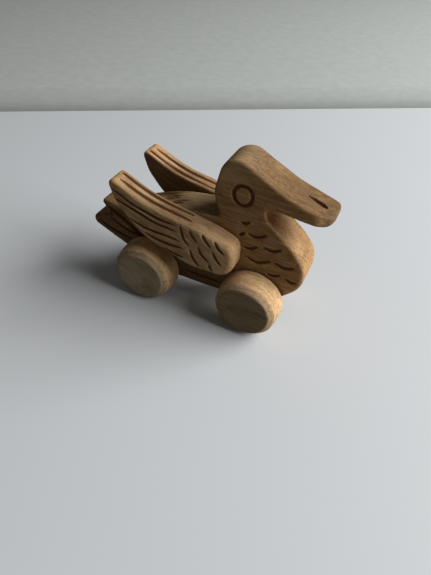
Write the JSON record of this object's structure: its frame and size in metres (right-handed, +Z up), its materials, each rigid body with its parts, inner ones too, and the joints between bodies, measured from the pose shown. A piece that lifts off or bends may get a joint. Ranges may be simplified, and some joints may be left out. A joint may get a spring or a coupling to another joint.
{
  "type": "pull along toy",
  "caption": "Carved wooden duck that rolls on wheels: a board body with head and tail, raised wings, and glued wheelsets turning in the belly.",
  "frame": {"origin": "on the ground below the middle of the toy's length and width", "axes": "+X towards the beak, +Y towards the duck's left side, +Z up"},
  "size_m": [0.1336, 0.053, 0.0937],
  "materials": {
    "body_wood": "oiled, carved board with dark carved lines",
    "wing_wood": "oiled, carved board with dark carved lines",
    "wheel_wood": "turned, lightly oiled",
    "dowel_wood": "smooth birch dowel"
  },
  "bodies": {
    "duck": {"body_board": "body_wood", "wing_right": "wing_wood", "wing_left": "wing_wood", "wing_dowel_rear": "dowel_wood", "wing_dowel_front": "dowel_wood"},
    "rear_wheelset": {"axle_rear": "dowel_wood", "wheel_rear_right": "wheel_wood", "wheel_rear_left": "wheel_wood"},
    "front_wheelset": {"axle_front": "dowel_wood", "wheel_front_right": "wheel_wood", "wheel_front_left": "wheel_wood"}
  },
  "joints": [
    {"name": "rear_axle_spin", "type": "hinge", "parent": "duck", "child": "rear_wheelset", "pos_m": [-0.02824, 0, 0.0175], "axis": [0, 1, 0], "continuous": true},
    {"name": "front_axle_spin", "type": "hinge", "parent": "duck", "child": "front_wheelset", "pos_m": [0.03406, 0, 0.0175], "axis": [0, 1, 0], "continuous": true}
  ]
}
